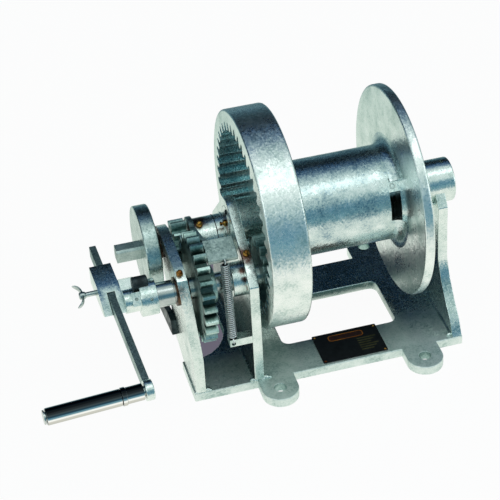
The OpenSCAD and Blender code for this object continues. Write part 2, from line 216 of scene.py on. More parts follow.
def galvanised(name, tones, rough_low, rough_high, run_mm=RUN_DEPTH_MM, lean=LEAN, worn=0.0, stains_and_shade=()):
    """Zinc in a light, a middle and a dark tone. Stains and painted shade are pairs of a share function and a
    colour.
    """
    light, mid, dark = tones
    mat, tree, shader = new_material(name, mid, 1.0, rough_low)
    place = node(tree, "ShaderNodeTexCoord", out="Object")
    spangle = node(tree, "ShaderNodeTexVoronoi", {"feature": "F1"}, out="Color", Vector=place,
                   Scale=1 / (SPANGLE_MM * MM), Randomness=1.0)
    crystal = node(tree, "ShaderNodeSeparateColor", out="Red", _0=spangle)
    clouds = node(tree, "ShaderNodeTexNoise", Vector=place, Scale=1 / (CLOUD_MM * MM), Detail=4.0,
                  Roughness=0.6)
    cloud_part = node(tree, "ShaderNodeMapRange", _0=clouds, _1=0.3, _2=0.7, _3=0.0, _4=CLOUD_SHARE)
    grain = node(tree, "ShaderNodeMath", {"operation": "MULTIPLY_ADD"}, _0=crystal, _1=CRYSTAL_SHARE,
                 _2=cloud_part)
    colour = node(tree, "ShaderNodeValToRGB", stops=[(0.12, dark), (0.45, mid), (0.85, light)], _0=grain)
    for share_of, tone in stains_and_shade:
        share = share_of(tree, place)
        colour = node(tree, "ShaderNodeMix", {"data_type": "RGBA"}, out=2, _0=share, _6=colour,
                      _7=linear(tone))
    tree.links.new(colour, shader.inputs["Base Color"])
    cloud_rough = node(tree, "ShaderNodeMapRange", _0=clouds, _1=0.3, _2=0.7, _3=rough_high, _4=rough_low)
    rough = node(tree, "ShaderNodeMath", {"operation": "MULTIPLY_ADD"}, _0=crystal, _1=CRYSTAL_ROUGH,
                 _2=cloud_rough)
    if worn:
        across = node(tree, "ShaderNodeSeparateXYZ", out="Y", _0=place)
        rubbed = node(tree, "ShaderNodeMapRange", _0=across, _1=WORN_TO_MM * MM, _2=WORN_FROM_MM * MM,
                      _3=worn, _4=0.0)
        rough = node(tree, "ShaderNodeMath", {"operation": "ADD"}, _0=rough, _1=rubbed)
    tree.links.new(rough, shader.inputs["Roughness"])
    tip = node(tree, "ShaderNodeVectorMath", {"operation": "SUBTRACT"}, _0=spangle, _1=(0.5, 0.5, 0.5))
    tip = node(tree, "ShaderNodeVectorMath", {"operation": "MULTIPLY_ADD"}, _0=tip, _1=(lean, lean, lean),
               _2=node(tree, "ShaderNodeNewGeometry", out="Normal"))
    tip = node(tree, "ShaderNodeVectorMath", {"operation": "NORMALIZE"}, _0=tip)
    runs = node(tree, "ShaderNodeTexNoise", Vector=place, Scale=1 / (RUN_MM * MM), Detail=3.0, Roughness=0.55)
    lumps = node(tree, "ShaderNodeBump", Height=runs, Distance=run_mm * MM, Strength=1.0, Normal=tip)
    tree.links.new(lumps, shader.inputs["Normal"])
    return mat

# %% [markdown]
# Every zinc below is the same bath. What differs is the steel under it, how
# fast it cooled and how it was handled since, so each has its own tones and
# its own range of roughness. Some also wear brown stains or painted shade.

# %% The zinc of each piece
BATH = ("#F0F7F4", "#DDEAE5", "#B2C8C3")
TURNED = ("#D6E2DE", "#BACBC7", "#8EA4A1")

# Welded plate as it left the bath: pale and half a mirror, with a faint sparkle.
zinc_bath = galvanised("hot_dip_galvanised_steel", BATH, 0.16, 0.26)
# Plate round the bearings: the same, with brown halos that make the joints look used.
zinc_greased = galvanised("galvanised_steel_with_grease_stains", BATH, 0.18, 0.30, stains_and_shade=[(stained, STAIN)])
# Plate beside the gears: stains, and painted shade that turns its low part dark green, so the space between
# the plates looks deep.
zinc_inner = galvanised("galvanised_plate_with_stains_and_painted_shade", BATH, 0.18, 0.30,
                        stains_and_shade=[(stained, STAIN), (painted_shade_low_outside, PAINTED_SHADE_GREEN)])
# Base: clear reflections at the back and a matt, evenly grey front where boots and tools rubbed it.
zinc_deck = galvanised("galvanised_base_worn_in_front", BATH, 0.16, 0.26, worn=0.30)
# Heavy ring and flange cooled slowly: whiter, with a livelier sparkle in soft frosty clouds.
zinc_rim = galvanised("galvanised_steel_cloudy", ("#FAFEFC", "#ECF5F1", "#C6D8D3"), 0.22, 0.33, lean=0.125)
# Steel pipe of the barrel: blue-grey patches between bright ones, the liveliest surface of all.
zinc_barrel = galvanised("galvanised_rope_barrel", ("#ECF5F3", "#CCDDDB", "#8AA5B1"), 0.18, 0.28, lean=0.10)
# Flanks of the ring's teeth, cut clean: a cool blue-green that mirrors the dark behind.
zinc_teeth = galvanised("galvanised_ring_teeth", ("#E6F8F8", "#C6E4E8", "#93BCC6"), 0.18, 0.28, 0.12, 0.06)
# Spur gear: duller green-grey, with painted shade nearly black between the teeth, which makes every tooth
# stand out.
zinc_spur = galvanised("galvanised_spur_gear", ("#C6DCD6", "#9CBAB4", "#6C8C87"), 0.24, 0.38, 0.12, 0.10,
                       stains_and_shade=[(painted_shade_in_roots, PAINTED_SHADE_GREEN)])
# Turned disc: a shade darker than plate.
zinc_smooth = galvanised("galvanised_turned_steel", TURNED, 0.18, 0.30, 0.26, 0.09)
# Flame-cut lever: a mottled, rough skin that breaks up whatever it mirrors.
zinc_lever = galvanised("galvanised_lever_rough_skin", ("#C2D2CE", "#9DB1AD", "#667B78"), 0.26, 0.44, 0.45,
                        0.16)
# Pinions and the hub: oily and dull green-grey. On the walls of the fixing holes the same zinc is painted
# shade.
zinc_dull = galvanised("galvanised_gear_steel_and_painted_hole_shade", ("#BAD2CD", "#98B5B1", "#6A8A87"), 0.26, 0.42, 0.16, 0.12)
# Rolled flat bar of the crank: satin dark grey.
zinc_bar = galvanised("galvanised_crank_bar", ("#B4C6C2", "#93A8A4", "#687E7E"), 0.40, 0.52, 0.12, 0.09)
# The squared shaft end that a handle slides on and off: rubbed matt, with no clear reflection.
zinc_worn = galvanised("galvanised_handled_steel", TURNED, 0.42, 0.55, 0.16, 0.09)
print("zinc finishes:", len(bpy.data.materials))

# %% [markdown]
# ## Bright and dark metals
# Turned shafts show fine rings left by the tool, so bands across the axis break
# up their shine. The grip is plated with chromium, the screw and spring with
# thin bright zinc, the grease nipples are brass with a coppery tarnish, the
# bushes bronze. The brake lining is pressed fibre and rubber, black and dull.
# A polished tube mirrors the room in long bands. On the grip these bands are a
# painted reflection: its colour is set by the way each part of it faces, a hard
# white band just above level and black higher up.

# %% Other materials
RING_MM = 5.65
OIL_MM = 14.3
FILM_MM = 12.0


def turned(name, base, lowlight, metallic, roughness, mark_depth_mm=0.012):
    """Turned metal: rings round the X axis, drawn much coarser than real ones so that they show."""
    mat, tree, shader = new_material(name, base, metallic, roughness)
    place = node(tree, "ShaderNodeTexCoord", out="Object")
    marks = node(tree, "ShaderNodeTexWave", {"wave_type": "BANDS", "bands_direction": "X"}, out="Fac",
                 Vector=place, Scale=math.pi / 10 / (RING_MM * MM), Distortion=0.6, Detail=2.0)
    film = node(tree, "ShaderNodeTexNoise", Vector=place, Scale=1 / (OIL_MM * MM), Detail=4.0)
    colour = node(tree, "ShaderNodeValToRGB", stops=[(0.35, lowlight), (0.6, base)], _0=film)
    rough = node(tree, "ShaderNodeMapRange", _0=film, _1=0.35, _2=0.65, _3=roughness + 0.12, _4=roughness)
    bump = node(tree, "ShaderNodeBump", Height=marks, Distance=mark_depth_mm * MM, Strength=1.0)
    tree.links.new(colour, shader.inputs["Base Color"])
    tree.links.new(rough, shader.inputs["Roughness"])
    tree.links.new(bump, shader.inputs["Normal"])
    return mat


def cloudy(name, base, shade, metallic, roughness, grain_mm, depth_mm):
    """Cast, plated or pressed stuff: two tones, and a relief drawn coarser than real so that it shows."""
    mat, tree, shader = new_material(name, base, metallic, roughness)
    place = node(tree, "ShaderNodeTexCoord", out="Object")
    film = node(tree, "ShaderNodeTexNoise", Vector=place, Scale=1 / (FILM_MM * MM), Detail=5.0)
    grain = node(tree, "ShaderNodeTexNoise", Vector=place, Scale=1 / (grain_mm * MM), Detail=2.0)
    colour = node(tree, "ShaderNodeValToRGB", stops=[(0.36, shade), (0.62, base)], _0=film)
    rough = node(tree, "ShaderNodeMapRange", _0=film, _1=0.35, _2=0.65, _3=roughness * 1.35,
                 _4=roughness * 0.8)
    bump = node(tree, "ShaderNodeBump", Height=grain, Distance=depth_mm * MM, Strength=1.0)
    tree.links.new(colour, shader.inputs["Base Color"])
    tree.links.new(rough, shader.inputs["Roughness"])
    tree.links.new(bump, shader.inputs["Normal"])
    return mat


def painted_reflection_plate(name, roughness, bands_by_facing, end_tone):
    """Polished plating with a painted reflection: tones by the way it faces, in degrees above the user."""
    mat, tree, shader = new_material(name, bands_by_facing[0][1], 1.0, roughness)
    normal = node(tree, "ShaderNodeNewGeometry", out="Normal")
    endwise, across, upwards = (node(tree, "ShaderNodeSeparateXYZ", out=axis, _0=normal) for axis in "XYZ")
    towards_user = node(tree, "ShaderNodeMath", {"operation": "MULTIPLY"}, _0=across, _1=-1.0)
    over = node(tree, "ShaderNodeMath", {"operation": "ARCTAN2"}, _0=upwards, _1=towards_user)
    share = node(tree, "ShaderNodeMapRange", _0=over, _1=-math.pi, _2=math.pi, _3=0.0, _4=1.0)
    colour = node(tree, "ShaderNodeValToRGB", stops=[(degrees / 360 + 0.5, tone) for degrees, tone in bands_by_facing],
                  _0=share)
    endwise = node(tree, "ShaderNodeMath", {"operation": "ABSOLUTE"}, _0=endwise)
    end_share = node(tree, "ShaderNodeMapRange", _0=endwise, _1=0.35, _2=0.8, _3=0.0, _4=1.0)
    colour = node(tree, "ShaderNodeMix", {"data_type": "RGBA"}, out=2, _0=end_share, _6=colour,
                  _7=linear(end_tone))
    tree.links.new(colour, shader.inputs["Base Color"])
    return mat


# Painted reflection on the grip: a tone for each facing, in degrees above the user.
PAINTED_REFLECTION_BANDS = [(-40, "#B9B8B2"), (-3, "#D8D6D0"), (2, "#FFFFFF"), (20, "#F4F6F6"), (30, "#7A8184"), (44, "#3C4347"),
         (56, "#15181A"), (98, "#22282C"), (106, "#B8BFC2")]

# Ground and turned carbon steel: bright, with a fine ringed glint.
bright_steel = turned("turned_bright_steel", "#C3CAC8", "#B0B9B7", 1.0, 0.16)
# Oiled bronze: brown where the oil has browned it, with a low warm shine.
bronze = turned("oiled_bearing_bronze", "#7A604C", "#43332A", 1.0, 0.32)
# Chromium over polished tube, with a painted reflection: a hard white band beside a black one.
chromium = painted_reflection_plate("chromium_plate_with_painted_reflection", 0.07, PAINTED_REFLECTION_BANDS, "#7C8284")
# Barrel-plated zinc on small parts: silvery and soft.
zinc_plate = cloudy("bright_zinc_plate", "#C6D0CE", "#98A5A3", 1.0, 0.26, 1.0, 0.02)
# Plated wire with a white bloom of zinc oxide, which keeps the coils light even in shade.
spring_wire = cloudy("zinc_plated_spring_wire", "#F8FAFA", "#E9EEEE", 0.75, 0.28, 1.0, 0.005)
# Machined brass, tarnished from gold to copper red where grease sits.
nipple_brass = cloudy("tarnished_brass", "#C9A052", "#6E3518", 1.0, 0.24, 0.8, 0.02)
# Pressed fibre and rubber: black, and it shines nowhere.
lining = cloudy("pressed_brake_lining", "#191B1D", "#0C0D0E", 0.0, 0.72, 0.7, 0.05)
# Blued steel: dark blue-grey with a dull sheen.
dark_steel = cloudy("blued_dark_steel", "#4A5557", "#2B3335", 0.85, 0.42, 1.2, 0.04)
# Phosphated steel, nearly black: the dark joints, and painted shade inside close coils.
black_cap = cloudy("black_phosphate_steel_and_painted_coil_shade", "#2A3032", "#15191B", 0.7, 0.45, 1.2, 0.05)
print("materials:", len(bpy.data.materials))

# %% [markdown]
# ## Which finish each solid wears
# A solid from the frame is painted by setting its material slots. Its shape is
# left alone. The finish is noted by name, so that a rounded copy further down
# can wear the same.

# %% Dress the solids
finish = {}


def dress(material, *names):
    for name in names:
        finish[name] = material
        slots = nodes[name].data.materials
        slots.clear()
        slots.append(material)


dress(zinc_bath, "right_support", "right_boss", "spring_lug", "crank_hub", "crank_socket", "clutch_collar",
      "grip_boss")
dress(zinc_inner, "middle_plate")
dress(zinc_greased, "drum_boss", "counter_boss", "upper_housing", "outer_plate")
dress(zinc_deck, "base_plate")
dress(zinc_barrel, "drum_barrel")
dress(zinc_rim, "drum_flange", "ring_web", "ring_gear")
dress(zinc_spur, "spur_gear")
dress(zinc_dull, "drive_pinion", "input_pinion")
dress(zinc_smooth, "brake_disc")
dress(zinc_lever, "release_lever")
dress(zinc_worn, "input_shaft")
dress(zinc_bar, "crank_arm")
dress(bright_steel, "drum_shaft", "counter_shaft", "shaft_collar", "grip_pin")
dress(bronze, "counter_bush", "upper_bush")
dress(chromium, "grip_tube", "grip_collar")
dress(zinc_plate, "wing_screw", "spring")
dress(nipple_brass, "nipple_middle", "nipple_outer", "nipple_drum", "nipple_upper")
dress(lining, "friction_ring")
dress(dark_steel, "side_tab", "hub_cap")
print("dressed", len(finish), "of", len(nodes))

# %% [markdown]
# ## Floor
# The winch stands on a white sweep in a studio. Zinc is half a mirror, so what
# it looks like is mostly what it mirrors. It sees the sweep as it would be in
# that room: bright close to the winch, a dim teal further in front and falling
# off into the dark behind. Under the gears, where little light gets in between
# the plates, the sweep is a dull violet grey, and so is a small spot close
# behind the ring gear. In the window under the drum the zinc sees shade too,
# while the camera sees white. The sweep keeps a share of plain paper, which
# catches the shadow.

# %% Floor
FLOOR_WHITE = "#F6F7F7"
FLOOR_SIZE = 9.0
FLOOR_DROP_MM = 0.4
FLOOR_MIRRORED = [(-4.5, "#567F8E"), (-1.1, "#5E8C9C"), (-0.8, "#9BB9BD"), (-0.55, "#FFFFF8"),
                  (0.10, "#F4F8F0"), (0.45, "#D3E2D8"), (0.75, "#7F9DA0"), (1.3, "#47646F"), (4.5, "#3A5562")]
SHADE_SEEN = "#6A6674"
SHADE_MIRRORED = "#3E5552"
GLOW_SHARE = 0.95
BEHIND_RING = Vector((-101.0, 144.0, 0.0)) * MM
BEHIND_FULL_MM, BEHIND_GONE_MM = 14.0, 20.0

bpy.ops.mesh.primitive_plane_add(size=FLOOR_SIZE, location=(0, 0, -FLOOR_DROP_MM * MM))
floor = bpy.context.object
floor.name = "floor"
# Matt white paper: no shine at all, so the winch seems to stand on light.
floor_mat, tree, shader = new_material("matt_white_paper", FLOOR_WHITE, 0.0, 0.9)
seen_directly, glossy, through = (node(tree, "ShaderNodeLightPath", out=ray) for ray in (
    "Is Camera Ray", "Is Glossy Ray", "Is Transmission Ray"))
mirrored = node(tree, "ShaderNodeMath", {"operation": "MAXIMUM"}, _0=glossy, _1=through)
seen = node(tree, "ShaderNodeMath", {"operation": "MAXIMUM"}, _0=seen_directly, _1=mirrored)
spot = node(tree, "ShaderNodeTexCoord", out="Object")
along = node(tree, "ShaderNodeSeparateXYZ", out="X", _0=spot)
depth = node(tree, "ShaderNodeSeparateXYZ", out="Y", _0=spot)
off_axis = node(tree, "ShaderNodeMath", {"operation": "ABSOLUTE"}, _0=depth)


def floor_patch(middle_x, half_x, soft_x, half_y, soft_y):
    """A rectangle on the floor across the drum's axis, in mm, that fades out beyond its half sizes."""
    aside = node(tree, "ShaderNodeMath", {"operation": "SUBTRACT"}, _0=along, _1=middle_x * MM)
    aside = node(tree, "ShaderNodeMath", {"operation": "ABSOLUTE"}, _0=aside)
    in_x = node(tree, "ShaderNodeMapRange", _0=aside, _1=half_x * MM, _2=(half_x + soft_x) * MM, _3=1.0,
                _4=0.0)
    in_y = node(tree, "ShaderNodeMapRange", _0=off_axis, _1=half_y * MM, _2=(half_y + soft_y) * MM, _3=1.0,
                _4=0.0)
    return node(tree, "ShaderNodeMath", {"operation": "MULTIPLY"}, _0=in_x, _1=in_y)


window = floor_patch(middle_x=8.0, half_x=62.0, soft_x=13.0, half_y=34.0, soft_y=10.0)
under_gears = floor_patch(middle_x=-150.5, half_x=26.5, soft_x=6.0, half_y=75.0, soft_y=10.0)
behind = node(tree, "ShaderNodeVectorMath", {"operation": "DISTANCE"}, out="Value", _0=spot, _1=BEHIND_RING)
behind = node(tree, "ShaderNodeMapRange", _0=behind, _1=BEHIND_FULL_MM * MM, _2=BEHIND_GONE_MM * MM, _3=1.0,
              _4=0.0)
shaded = node(tree, "ShaderNodeMath", {"operation": "MAXIMUM"}, _0=under_gears, _1=behind)

across_room = node(tree, "ShaderNodeMapRange", _0=depth, _1=-FLOOR_SIZE / 2, _2=FLOOR_SIZE / 2, _3=0.0,
                   _4=1.0)
zones = node(tree, "ShaderNodeValToRGB", stops=[(y / FLOOR_SIZE + 0.5, tone) for y, tone in FLOOR_MIRRORED],
             _0=across_room)
zones = node(tree, "ShaderNodeMix", {"data_type": "RGBA"}, out=2, _0=window, _6=zones,
             _7=linear(SHADE_MIRRORED))
tint = node(tree, "ShaderNodeMix", {"data_type": "RGBA"}, out=2, _0=mirrored, _6=(1, 1, 1, 1), _7=zones)
shade = node(tree, "ShaderNodeMix", {"data_type": "RGBA"}, out=2, _0=mirrored, _6=linear(SHADE_SEEN),
             _7=linear(SHADE_MIRRORED))
tint = node(tree, "ShaderNodeMix", {"data_type": "RGBA"}, out=2, _0=shaded, _6=tint, _7=shade)
glow = node(tree, "ShaderNodeEmission", Color=tint, Strength=1.0)
glow_share = node(tree, "ShaderNodeMath", {"operation": "MULTIPLY"}, _0=seen, _1=GLOW_SHARE)
blend = node(tree, "ShaderNodeMixShader", _0=glow_share, _1=shader.outputs["BSDF"], _2=glow)
tree.links.new(blend, tree.nodes["Material Output"].inputs["Surface"])
floor.data.materials.append(floor_mat)
print("floor", FLOOR_SIZE, "m")

# %% [markdown]
# ## Room and lamps
# Going over the winch from the user's side, the room has a dim teal strip at
# the horizon, then a wide white canopy up to straight overhead, then a navy and
# black drape behind. The angle of a ray over the drum's axis picks the colour,
# so each curved part shows the same bands: white in the middle and navy along
# its top. The camera itself sees white. Soft boxes stand to the front left, to
# the right and overhead, and only add sparkle.

# %% Room and lamps
ROOM = [(0.00, "#7FAAB4"), (0.05, "#527F95"), (0.14, "#5A889E"), (0.20, "#B4CCCC"), (0.25, "#DCE9E7"),
        (0.54, "#D6E5E4"), (0.595, "#9BB3BF"), (0.640, "#3A6288"), (0.70, "#23466B"), (0.755, "#060F12"),
        (0.85, "#060E10"), (0.92, "#2C4755"), (1.00, "#45626F")]
AIM = Vector((0.0, 0.0, 0.12))

world = bpy.data.worlds.new("studio")
bpy.context.scene.world = world
world.use_nodes = True
tree = world.node_tree
tree.nodes.clear()
way = node(tree, "ShaderNodeTexCoord", out="Generated")
forwards = node(tree, "ShaderNodeSeparateXYZ", out="Y", _0=way)
upwards = node(tree, "ShaderNodeSeparateXYZ", out="Z", _0=way)
towards_user = node(tree, "ShaderNodeMath", {"operation": "MULTIPLY"}, _0=forwards, _1=-1.0)
over = node(tree, "ShaderNodeMath", {"operation": "ARCTAN2"}, _0=upwards, _1=towards_user)
over_share = node(tree, "ShaderNodeMapRange", _0=over, _1=0.0, _2=math.pi, _3=0.0, _4=1.0)
room = node(tree, "ShaderNodeValToRGB", stops=ROOM, _0=over_share)
seen_room = node(tree, "ShaderNodeBackground", Color=room, Strength=1.0)
for_camera = node(tree, "ShaderNodeBackground", Color=(1, 1, 1, 1), Strength=1.0)
by_camera = node(tree, "ShaderNodeLightPath", out="Is Camera Ray")
both = node(tree, "ShaderNodeMixShader", _0=by_camera, _1=seen_room, _2=for_camera)
node(tree, "ShaderNodeOutputWorld", Surface=both)


def soft_box(name, at, size, watts):
    lamp = bpy.data.objects.new(name, bpy.data.lights.new(name, "AREA"))
    lamp.data.shape = "RECTANGLE"
    lamp.data.size, lamp.data.size_y = size
    lamp.data.energy = watts
    lamp.location = at
    lamp.rotation_euler = (AIM - Vector(at)).to_track_quat("-Z", "Y").to_euler()
    bpy.context.collection.objects.link(lamp)


soft_box("key_box", (-1.3, -1.5, 1.5), (0.9, 0.6), 3.5)
soft_box("side_box", (1.5, -1.1, 0.9), (0.6, 0.9), 3)
soft_box("top_box", (0.3, -0.6, 1.9), (1.2, 0.5), 2)
print("lamps:", len(bpy.data.lights))

# %% [markdown]
# ## Making pieces
# Every new piece goes through one function. It turns the work mesh into an
# object at the origin, smooths it by angle, gives it a finish, and says which
# body carries it and which solids it stands for.
# It prints the piece's name and its number of faces.
# A piece that will be blended between two bodies is given none here. Three
# short helpers do what most pieces need: joining points into an outline,
# finding the edges of some points, and spinning an outline all the way round.

# %% Helpers for pieces
home = {n: body for body, names in frame["record"]["behaviour"]["bodies"].items() for n in names}
SMOOTH_BELOW = math.radians(38)


def piece(name, bm, material, body, replaced=()):
    bmesh.ops.recalc_face_normals(bm, faces=bm.faces)
    mesh = bpy.data.meshes.new(name)
    bm.to_mesh(mesh)
    bm.free()
    mesh.materials.append(material)
    for face in mesh.polygons:
        face.use_smooth = True
    mesh.set_sharp_from_angle(angle=SMOOTH_BELOW)
    made = bpy.data.objects.new(name, mesh)
    bpy.context.collection.objects.link(made)
    if body:
        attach(made, body)
    if replaced:
        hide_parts(*replaced)
    print(name, len(mesh.polygons), "faces")
    return made


def edges_of(verts):
    return list({e for v in verts for e in v.link_edges})


def outline(bm, points_mm, closed=False):
    """Vertices at points in mm and the edges between them."""
    verts = [bm.verts.new(Vector(point) * MM) for point in points_mm]
    pairs = list(zip(verts, verts[1:]))
    if closed:
        pairs.append((verts[-1], verts[0]))
    return verts + [bm.edges.new(pair) for pair in pairs]


def spin_full(bm, geom, centre, axis, steps):
    bmesh.ops.spin(bm, geom=geom, cent=centre, axis=axis, angle=2 * math.pi, steps=steps, use_merge=True,
                   use_duplicate=False)

# %% [markdown]
# ## Rounded edges
# Plates that were sawn, ground and dipped have no sharp corners: the zinc rounds
# them over by about a millimetre, and that thin bright line round each plate is
# most of what makes it look real. Each of these solids is copied, its doubles
# are merged, flat triangles are joined into whole faces, and the edges that
# turn sharply are bevelled. The copy then stands for the solid.

# %% Rounded copies of the solids
SAME_POINT_MM = 0.004
FLAT_WITHIN = math.radians(0.6)


def sharp_edges(bm, turn_deg):
    return [e for e in bm.edges if e.is_manifold and e.calc_face_angle(0) > math.radians(turn_deg)]


def ease(bm, edges, radius_mm, steps):
    bmesh.ops.bevel(bm, geom=edges, offset=radius_mm * MM, offset_type="OFFSET", segments=steps, profile=0.5,
                    affect="EDGES", clamp_overlap=True, material=-1)


def clean_copy(solid):
    """The solid's mesh with its loose triangles joined and its flat faces whole."""
    bm = bmesh.new()
    bm.from_mesh(nodes[solid].data)
    bmesh.ops.remove_doubles(bm, verts=bm.verts, dist=SAME_POINT_MM * MM)
    bmesh.ops.dissolve_limit(bm, angle_limit=FLAT_WITHIN, verts=bm.verts, edges=bm.edges, delimit={"NORMAL"})
    return bm


def finish_copy(solid, bm):
    made = piece("rounded_" + solid, bm, finish[solid], home[solid], (solid,))
    shading = made.modifiers.new("even_shading", "WEIGHTED_NORMAL")
    shading.keep_sharp = True
    return made


for solid, radius_mm in (
        ("base_plate", 1.4), ("right_support", 1.4), ("middle_plate", 1.4), ("outer_plate", 1.4),
        ("spring_lug", 1.0), ("release_lever", 1.0), ("counter_boss", 0.8), ("side_tab", 0.8),
        ("crank_socket", 1.2), ("crank_hub", 0.8), ("crank_arm", 1.0), ("grip_boss", 1.2), ("spur_gear", 0.5),
        ("drive_pinion", 0.5), ("input_pinion", 0.5), ("shaft_collar", 0.6), ("input_shaft", 0.8),
        ("grip_tube", 1.4), ("grip_collar", 0.5), ("drum_barrel", 0.8)):
    bm = clean_copy(solid)
    ease(bm, sharp_edges(bm, 32), radius_mm, 2)
    finish_copy(solid, bm)

# %% [markdown]
# The walls of the four fixing holes get painted shade: a darker, duller zinc
# than the faces around them. They are found by their distance from each hole's axis.

# %% Fixing holes
HOLE_AT = Vector((90.0, 115.0)) * MM
HOLE_REACH_MM = 9.0

base = bpy.data.objects["rounded_base_plate"]
# Painted shade: the walls of the fixing holes take the darker, duller zinc as a second slot.
base.data.materials.append(zinc_dull)
for face in base.data.polygons:
    from_hole = (Vector((abs(face.center.x), abs(face.center.y))) - HOLE_AT).length
    if abs(face.normal.z) < 0.5 and from_hole < HOLE_REACH_MM * MM:
        face.material_index = 1
print("hole walls:", sum(face.material_index for face in base.data.polygons), "faces")

# %% [markdown]
# The ring gear needs more care. The outside of its rim is rounded generously,
# its teeth only a little, and the seam where it meets the web not at all, so
# that rim and web read as one casting. The edges are told apart by where they
# are: on the seam's plane, on the outer rim, or neither. The flanks of the
# teeth are smoother, drawn clean by the cutter, and mirror more of the room.

# %% Ring gear
AXIS_Z = 178.3
SEAM_X = -62.0
RIM_INSIDE_MM = 125.0
TEETH_OUTSIDE_MM = 122.0
FLANKS_OUTSIDE_MM = 119.0


def off_seam(bm):
    return [e for e in sharp_edges(bm, 30) if not all(abs(v.co.x - SEAM_X * MM) < 1e-5 for v in e.verts)]


def from_axis(point):
    return math.hypot(point.y, point.z - AXIS_Z * MM)


bm = clean_copy("ring_gear")
ease(bm, [e for e in off_seam(bm) if all(from_axis(v.co) > RIM_INSIDE_MM * MM for v in e.verts)], 2.6, 3)
ease(bm, [e for e in off_seam(bm) if all(from_axis(v.co) < TEETH_OUTSIDE_MM * MM for v in e.verts)], 0.5, 2)
ring = finish_copy("ring_gear", bm)
ring.data.materials.append(zinc_teeth)
for face in ring.data.polygons:
    if from_axis(face.center) < FLANKS_OUTSIDE_MM * MM and abs(face.normal.x) < 0.5:
        face.material_index = 1
print("flanks:", sum(face.material_index for face in ring.data.polygons), "faces")

# %% [markdown]
# ## The return spring
# It is wound from wire of about 1.5 mm in open turns, with a hook at each end. A
# small circle of wire is spun round the spring's axis and moved along a little
# at each step, which is how a spring is really coiled. A hook is the same wire
# spun part of the way round in another direction. A dark core is painted shade
# inside so close a coil. The foot hangs on the lug and the head on the lever,
# so the piece gets no body here, as one to blend between their two bodies.

# %% Spring
WIRE_R_MM = 0.72
COIL_R_MM = 4.7
SHADE_CORE_R_MM = 3.5
HOOK_R_MM = 4.2
HOOK_DEG = 320
TURNS = 38
STEPS_PER_TURN = 18
SPRING_MM = 96.0
SPRING_LEAN = math.radians(9.0)
FOOT = Vector((-138, -91.5, 83.3)) * MM


def wire_end(bm, centre, upright):
    """A ring of the wire's section. Upright, it is ready to spin round Z, and flat, round X."""
    ring = bmesh.ops.create_circle(bm, cap_ends=False, segments=8, radius=WIRE_R_MM * MM)["verts"]
    if upright:
        bmesh.ops.rotate(bm, cent=(0, 0, 0), matrix=Matrix.Rotation(math.pi / 2, 3, "X"), verts=ring)
    bmesh.ops.translate(bm, vec=centre, verts=ring)
    return ring


def spin_wire(bm, ring, about, axis, angle, steps, climb=(0, 0, 0)):
    bmesh.ops.spin(bm, geom=ring + edges_of(ring), cent=about, axis=axis, dvec=climb, angle=angle,
                   steps=steps, use_merge=False, use_normal_flip=False, use_duplicate=False)


bm = bmesh.new()
steps = TURNS * STEPS_PER_TURN
start = wire_end(bm, Vector((COIL_R_MM * MM, 0, 0)), True)
spin_wire(bm, start, (0, 0, 0), (0, 0, 1), 2 * math.pi * TURNS, steps, (0, 0, SPRING_MM * MM / steps))
for level_mm, way_round in ((-HOOK_R_MM, 1), (SPRING_MM + HOOK_R_MM, -1)):
    loop = wire_end(bm, Vector((0, HOOK_R_MM, level_mm)) * MM, False)
    spin_wire(bm, loop, (0, 0, level_mm * MM), (1, 0, 0), math.radians(HOOK_DEG) * way_round, 22)
# Painted shade: a dark core inside the coil, in the piece's second slot.
painted_shade_core = bmesh.ops.create_cone(bm, cap_ends=True, segments=16, radius1=SHADE_CORE_R_MM * MM, radius2=SHADE_CORE_R_MM * MM,
                             depth=SPRING_MM * MM)["verts"]
bmesh.ops.translate(bm, vec=(0, 0, SPRING_MM * MM / 2), verts=painted_shade_core)
for face in {f for v in painted_shade_core for f in v.link_faces}:
    face.material_index = 1
bmesh.ops.rotate(bm, cent=(0, 0, 0), matrix=Matrix.Rotation(-SPRING_LEAN, 3, "X"), verts=bm.verts)
bmesh.ops.translate(bm, vec=FOOT, verts=bm.verts)
spring = piece("return_spring", bm, spring_wire, None, ("spring",))
spring.data.materials.append(black_cap)
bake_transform(spring)
print("spring of", TURNS, "turns, leaning by", round(math.degrees(SPRING_LEAN), 1), "degrees")

# %% [markdown]
# ## Welds
# The plates stand on the base in fillet welds, and round bosses are welded in
# all the way round. A bead is a row of overlapping ripples that the zinc has
# softened. A straight bead is a ring of points pushed along the seam step by
# step, swelling and shrinking. A round bead is a small circle spun round the
# axis of the boss. Small blobs stand where a bead was started or stopped.

# %% Weld beads
RIPPLE_MM = 3.2
SWELL = 1.16
BASE_TOP_MM = 12.0


def straight_bead(bm, start, along, length_mm, size_mm):
    """A rippled bead from start, in mm, along a unit direction."""
    ring = bmesh.ops.create_circle(bm, cap_ends=True, segments=8, radius=size_mm * MM)["verts"]
    facing = Vector(along).to_track_quat("Z", "Y").to_matrix()
    bmesh.ops.rotate(bm, cent=(0, 0, 0), matrix=facing, verts=ring)
    bmesh.ops.translate(bm, vec=Vector(start) * MM, verts=ring)
    edges = edges_of(ring)
    centre = Vector(start) * MM
    count = int(length_mm / RIPPLE_MM * 2)
    step = Vector(along) * (length_mm * MM / count)
    for i in range(count):
        out = bmesh.ops.extrude_edge_only(bm, edges=edges)["geom"]
        ring = [g for g in out if isinstance(g, bmesh.types.BMVert)]
        edges = [g for g in out if isinstance(g, bmesh.types.BMEdge)]
        centre = centre + step
        bmesh.ops.translate(bm, vec=step, verts=ring)
        swell = SWELL if i % 2 == 0 else 1 / SWELL
        bmesh.ops.scale(bm, vec=(swell, swell, swell), space=Matrix.Translation(-centre), verts=ring)
    bmesh.ops.contextual_create(bm, geom=edges)


